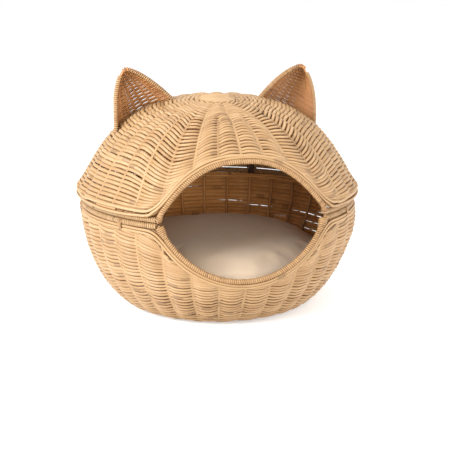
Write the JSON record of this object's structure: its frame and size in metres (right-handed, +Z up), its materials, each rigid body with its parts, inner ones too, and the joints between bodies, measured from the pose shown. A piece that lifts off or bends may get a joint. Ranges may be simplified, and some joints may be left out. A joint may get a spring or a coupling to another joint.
{
  "type": "wicker pet bed basket",
  "caption": "Woven wicker cat bed in two halves: a bowl with a loose cream cushion and a hinged domed lid with cat ears, sharing a lens-shaped doorway.",
  "frame": {"origin": "centre of the flat underside of the base, on the surface the basket stands on", "axes": "+Z up; the doorway faces -Y; +X is to the right when facing the doorway"},
  "size_m": [0.4548, 0.4378, 0.378],
  "materials": {
    "woven_cane": "honey-coloured round rattan cane, closely woven, satin",
    "cane_rod": "thicker rattan rod wrapped in thin cane, satin",
    "split_cane": "flat split cane binding, satin, slightly darker",
    "lashing_cane": "dark brown soft split cane",
    "cushion_fabric": "cream plain-woven cotton, matte",
    "cushion_filling": "white polyester wadding",
    "zip_tape": "beige zip tape with small plastic teeth"
  },
  "bodies": {
    "bowl": {"bowl_base": "woven_cane", "bowl_foot_border": "cane_rod", "bowl_wall": "woven_cane", "bowl_hoop": "cane_rod", "bowl_doorway_rim": "cane_rod", "bowl_binding_1": "split_cane", "bowl_binding_2": "split_cane", "bowl_binding_3": "split_cane", "bowl_binding_4": "split_cane", "bowl_binding_5": "split_cane", "bowl_binding_6": "split_cane", "bowl_binding_7": "split_cane", "bowl_binding_8": "split_cane", "hinge_lashing_left": "lashing_cane", "hinge_lashing_right": "lashing_cane"},
    "lid": {"lid_wall": "woven_cane", "lid_crown": "cane_rod", "lid_hoop": "cane_rod", "lid_doorway_rim": "cane_rod", "lid_binding_1": "split_cane", "lid_binding_2": "split_cane", "lid_binding_3": "split_cane", "lid_binding_4": "split_cane", "lid_binding_5": "split_cane", "lid_binding_6": "split_cane", "lid_binding_7": "split_cane", "ear_left_panel": "woven_cane", "ear_left_edge": "cane_rod", "ear_right_panel": "woven_cane", "ear_right_edge": "cane_rod"},
    "cushion": {"cushion_cover": "cushion_fabric", "cushion_filling": "cushion_filling", "cushion_zip": "zip_tape"}
  },
  "joints": [
    {"name": "lid_hinge", "type": "hinge", "parent": "bowl", "child": "lid", "pos_m": [0, 0.2195, 0.171], "axis": [-1, 0, 0], "range_deg": [0, 60], "deforming": ["hinge_lashing_left", "hinge_lashing_right"]},
    {"name": "cushion_lift", "type": "slide", "parent": "bowl", "child": "cushion", "axis": [0, 0, 1], "range_m": [0, 0.08]}
  ]
}
